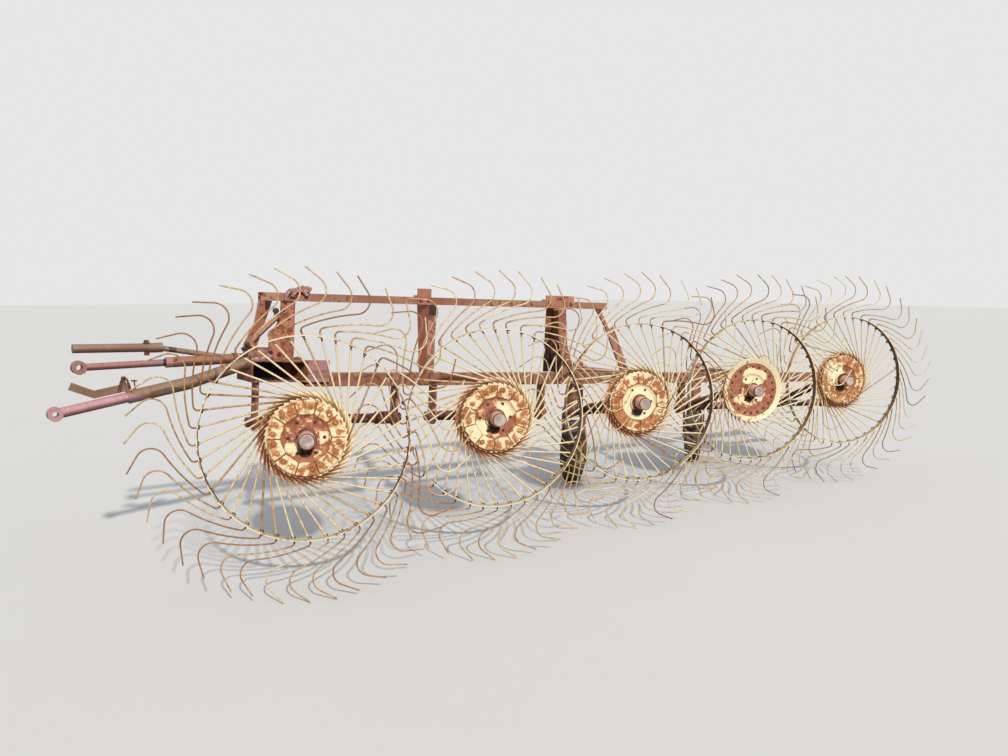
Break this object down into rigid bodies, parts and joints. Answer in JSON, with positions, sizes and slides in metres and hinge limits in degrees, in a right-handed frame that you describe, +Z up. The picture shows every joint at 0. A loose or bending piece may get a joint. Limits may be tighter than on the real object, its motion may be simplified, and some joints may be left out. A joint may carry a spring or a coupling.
{
  "type": "rotary finger-wheel hay rake section",
  "caption": "Towed hay rake section: spring-fingered raking wheels on lifting cranks under a two-storey frame, with castor wheels and telescopic coupling poles.",
  "frame": {"origin": "middle of the bore of the lower coupling pole's eye", "axes": "+X along the frame from the inner finger wheel to the outer one, +Z up, +Y from the finger wheels towards the frame"},
  "size_m": [5.8371, 1.5828, 1.4947],
  "materials": {
    "frame_paint": "faded red-brown oxide paint, rusty",
    "faded_paint": "chalky pink-red paint, worn",
    "hub_paint": "cream paint flaked off orange rust",
    "cream_paint": "cream paint with rust freckles",
    "rusty_steel": "bare rusty steel",
    "tyre": "weathered rubber"
  },
  "bodies": {
    "frame": {"lower_beam": "frame_paint", "top_beam": "frame_paint", "inner_gusset": "faded_paint", "middle_post": "faded_paint", "outer_post": "frame_paint", "outer_strut": "frame_paint", "front_stay": "faded_paint", "rear_stay": "faded_paint", "adjusting_rod": "frame_paint", "coupling_head": "frame_paint", "top_clamps": "faded_paint", "shaft_hangers": "frame_paint", "relief_springs": "rusty_steel", "inner_outrigger": "frame_paint", "outer_outrigger": "frame_paint", "lower_tube": "frame_paint", "upper_tube": "frame_paint", "brace_pole": "frame_paint"},
    "crank_1": {"crank_1": "frame_paint"},
    "wheel_1": {"hub_1": "hub_paint", "hoop_1": "cream_paint", "fingers_1": "cream_paint"},
    "crank_2": {"crank_2": "frame_paint"},
    "wheel_2": {"hub_2": "hub_paint", "hoop_2": "cream_paint", "fingers_2": "cream_paint"},
    "crank_3": {"crank_3": "frame_paint"},
    "wheel_3": {"hub_3": "hub_paint", "hoop_3": "cream_paint", "fingers_3": "cream_paint"},
    "crank_4": {"crank_4": "frame_paint"},
    "wheel_4": {"hub_4": "hub_paint", "hoop_4": "cream_paint", "fingers_4": "cream_paint"},
    "crank_5": {"crank_5": "frame_paint"},
    "wheel_5": {"hub_5": "hub_paint", "hoop_5": "cream_paint", "fingers_5": "cream_paint"},
    "inner_castor": {"inner_castor_fork": "frame_paint"},
    "inner_castor_wheel": {"inner_castor_rim": "cream_paint", "inner_castor_tyre": "tyre"},
    "outer_castor": {"outer_castor_fork": "frame_paint"},
    "outer_castor_wheel": {"outer_castor_rim": "cream_paint", "outer_castor_tyre": "tyre"},
    "lower_pole": {"lower_pole": "faded_paint"},
    "upper_pole": {"upper_pole": "faded_paint"}
  },
  "joints": [
    {"name": "crank_1_lift", "type": "hinge", "parent": "frame", "child": "crank_1", "pos_m": [0.88103, 0.02, -0.11666], "axis": [-0.9983, 0, 0.0576], "range_deg": [-8, 20]},
    {"name": "wheel_1_spin", "type": "hinge", "parent": "crank_1", "child": "wheel_1", "pos_m": [0.893, -0.56, -0.11266], "axis": [-0.3778, -0.9259, 0], "continuous": true},
    {"name": "crank_2_lift", "type": "hinge", "parent": "frame", "child": "crank_2", "pos_m": [1.89434, 0.02, -0.17508], "axis": [-0.9983, 0, 0.0576], "range_deg": [-8, 20]},
    {"name": "wheel_2_spin", "type": "hinge", "parent": "crank_2", "child": "wheel_2", "pos_m": [1.908, -0.56, -0.11266], "axis": [-0.3778, -0.9259, 0], "continuous": true},
    {"name": "crank_3_lift", "type": "hinge", "parent": "frame", "child": "crank_3", "pos_m": [2.90766, 0.02, -0.23351], "axis": [-0.9983, 0, 0.0576], "range_deg": [-8, 20]},
    {"name": "wheel_3_spin", "type": "hinge", "parent": "crank_3", "child": "wheel_3", "pos_m": [2.923, -0.56, -0.11266], "axis": [-0.3778, -0.9259, 0], "continuous": true},
    {"name": "crank_4_lift", "type": "hinge", "parent": "frame", "child": "crank_4", "pos_m": [3.92098, 0.02, -0.29194], "axis": [-0.9983, 0, 0.0576], "range_deg": [-8, 20]},
    {"name": "wheel_4_spin", "type": "hinge", "parent": "crank_4", "child": "wheel_4", "pos_m": [3.938, -0.56, -0.11266], "axis": [-0.3778, -0.9259, 0], "continuous": true},
    {"name": "crank_5_lift", "type": "hinge", "parent": "frame", "child": "crank_5", "pos_m": [4.93429, 0.02, -0.35036], "axis": [-0.9983, 0, 0.0576], "range_deg": [-8, 20]},
    {"name": "wheel_5_spin", "type": "hinge", "parent": "crank_5", "child": "wheel_5", "pos_m": [4.953, -0.56, -0.11266], "axis": [-0.3778, -0.9259, 0], "continuous": true},
    {"name": "inner_castor_swivel", "type": "hinge", "parent": "frame", "child": "inner_castor", "pos_m": [3.50866, 0.64, -0.365], "axis": [0, 0, 1], "continuous": true},
    {"name": "inner_castor_spin", "type": "hinge", "parent": "inner_castor", "child": "inner_castor_wheel", "pos_m": [3.41855, 0.57691, -0.635], "axis": [0.5736, -0.8192, 0], "continuous": true},
    {"name": "outer_castor_swivel", "type": "hinge", "parent": "frame", "child": "outer_castor", "pos_m": [4.78653, 0.64, -0.365], "axis": [0, 0, 1], "continuous": true},
    {"name": "outer_castor_spin", "type": "hinge", "parent": "outer_castor", "child": "outer_castor_wheel", "pos_m": [4.69643, 0.57691, -0.635], "axis": [0.5736, -0.8192, 0], "continuous": true},
    {"name": "lower_pole_slide", "type": "slide", "parent": "frame", "child": "lower_pole", "axis": [-0.9852, 0, -0.1715], "range_m": [-0.1, 0.1]},
    {"name": "upper_pole_slide", "type": "slide", "parent": "frame", "child": "upper_pole", "axis": [-0.9999, 0, -0.0109], "range_m": [-0.1, 0.1]}
  ]
}
